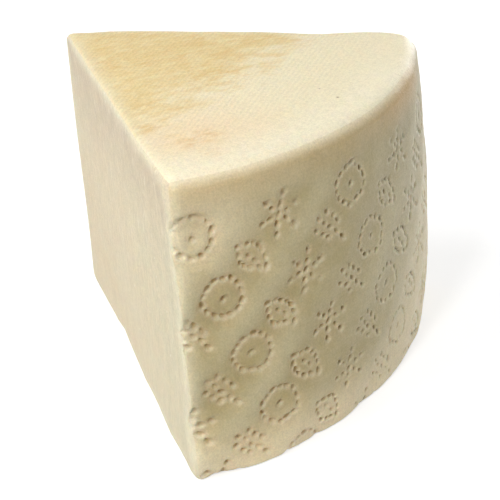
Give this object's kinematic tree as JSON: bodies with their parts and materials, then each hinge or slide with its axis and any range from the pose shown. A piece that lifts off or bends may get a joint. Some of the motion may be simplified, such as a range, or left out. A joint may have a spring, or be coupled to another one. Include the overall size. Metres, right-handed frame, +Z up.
{
  "type": "hard cheese chunk",
  "caption": "Wedge cut from a drum-shaped hard cheese: slightly domed top with a rounded rim, curved rind pricked with dotted ornament, smooth cut faces, flat underside.",
  "frame": {"origin": "under the middle of the chunk's bounding box, on the surface that it stands on", "axes": "+Z up; the curved rind faces -Y; the tip of the wedge points to +Y; +X to the right of someone who looks at the rind"},
  "size_m": [0.17, 0.1606, 0.125],
  "materials": {
    "cheese": "dense pale cheese, satin on the cuts and slightly waxy on the rind"
  },
  "bodies": {
    "root": {"chunk": "cheese"}
  },
  "joints": []
}
